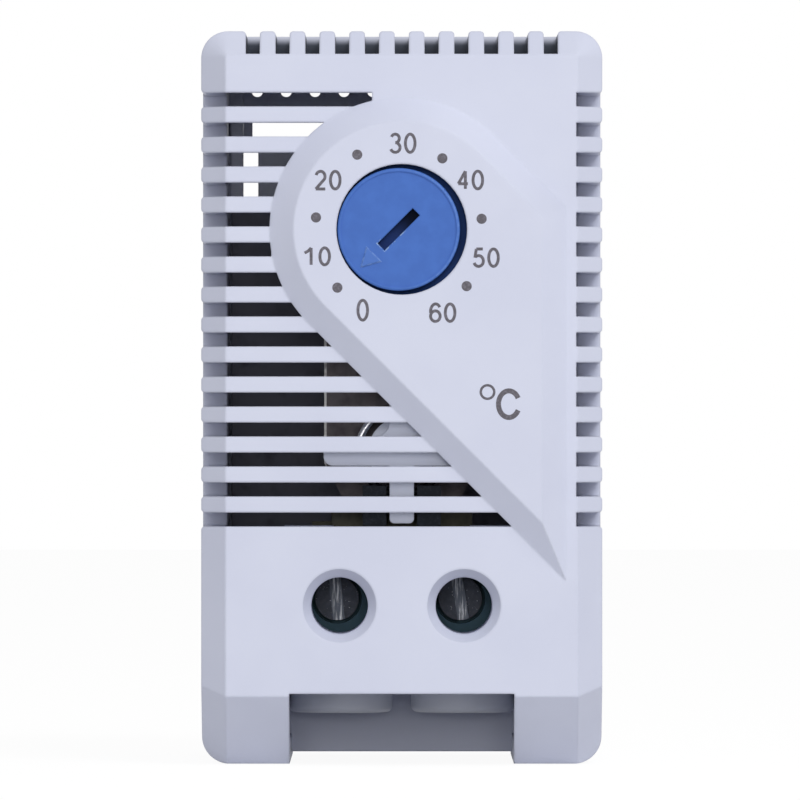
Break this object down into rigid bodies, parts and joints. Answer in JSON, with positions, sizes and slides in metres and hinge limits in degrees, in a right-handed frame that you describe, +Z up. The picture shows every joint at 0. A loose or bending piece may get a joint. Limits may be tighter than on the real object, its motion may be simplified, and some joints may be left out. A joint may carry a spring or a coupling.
{
  "type": "enclosure thermostat",
  "caption": "Small rail-mounted bimetal thermostat: slotted light grey case, raised panel with a blue setting dial, screwdriver funnels and wire entries below.",
  "frame": {"origin": "middle of the bounding box in plan, at the foot of the case", "axes": "+X right seen from the front, +Y back towards the rail, +Z up; the dial faces -Y"},
  "size_m": [0.0328, 0.043, 0.06],
  "materials": {
    "cover": "fine-textured light grey thermoplastic",
    "base": "fine-textured light grey thermoplastic",
    "carrier": "black phenolic moulding",
    "dial": "satin blue thermoplastic",
    "lever": "light grey thermoplastic",
    "steel": "plated steel",
    "screw_steel": "darkened plated steel, worn bright in the slot",
    "bimetal": "rolled bimetal sheet",
    "silver": "silver contact",
    "magnet": "sintered ferrite",
    "brass": "stamped brass"
  },
  "bodies": {
    "case": {"front_cover": "cover", "rear_base": "base", "contact_carrier": "carrier", "dial_spindle": "steel", "lever_pin": "steel", "strip_rivets": "brass", "fixed_contact": "silver", "snap_magnet": "magnet", "busbar_left": "brass", "busbar_right": "brass", "carrier_screws": "steel"},
    "dial": {"dial_knob": "dial"},
    "lever": {"setting_lever": "lever", "setting_spring": "steel"},
    "strip": {"bimetal_strip": "bimetal", "moving_contact": "silver", "armature": "steel"},
    "screw_left": {"terminal_screw_left": "screw_steel"},
    "screw_right": {"terminal_screw_right": "screw_steel"},
    "cage_left": {"terminal_cage_left": "steel"},
    "cage_right": {"terminal_cage_right": "steel"}
  },
  "joints": [
    {"name": "dial_turn", "type": "hinge", "parent": "case", "child": "dial", "pos_m": [-0.00025, -0.0198, 0.04375], "axis": [0, 1, 0], "range_deg": [-18, 290]},
    {"name": "lever_tilt", "type": "hinge", "parent": "case", "child": "lever", "pos_m": [0, -0.0164, 0.02124], "axis": [-1, 0, 0], "range_deg": [-0.14, 2.28], "deforming": ["setting_spring"]},
    {"name": "contact_flex", "type": "hinge", "parent": "case", "child": "strip", "pos_m": [0, -0.0079, 0.038], "axis": [1, 0, 0], "range_deg": [0, 2.2], "stiffness_Nm_per_rad": 0.02, "deforming": ["setting_spring"]},
    {"name": "screw_left_turn", "type": "hinge", "parent": "case", "child": "screw_left", "pos_m": [-0.00533, -0.0098, 0.01348], "axis": [0, 1, 0], "range_deg": [0, 1728.5]},
    {"name": "cage_left_rise", "type": "slide", "parent": "case", "child": "cage_left", "axis": [0, -1, 0], "range_m": [0, 0.0024]},
    {"name": "screw_right_turn", "type": "hinge", "parent": "case", "child": "screw_right", "pos_m": [0.00483, -0.0098, 0.01348], "axis": [0, 1, 0], "range_deg": [0, 1728.5]},
    {"name": "cage_right_rise", "type": "slide", "parent": "case", "child": "cage_right", "axis": [0, -1, 0], "range_m": [0, 0.0024]}
  ],
  "couplings": [
    {"joint": "dial_turn", "follows": "lever_tilt", "ratio": 127.07},
    {"joint": "screw_left_turn", "follows": "cage_left_rise", "rad_per_m": 12566},
    {"joint": "screw_right_turn", "follows": "cage_right_rise", "rad_per_m": 12566}
  ]
}
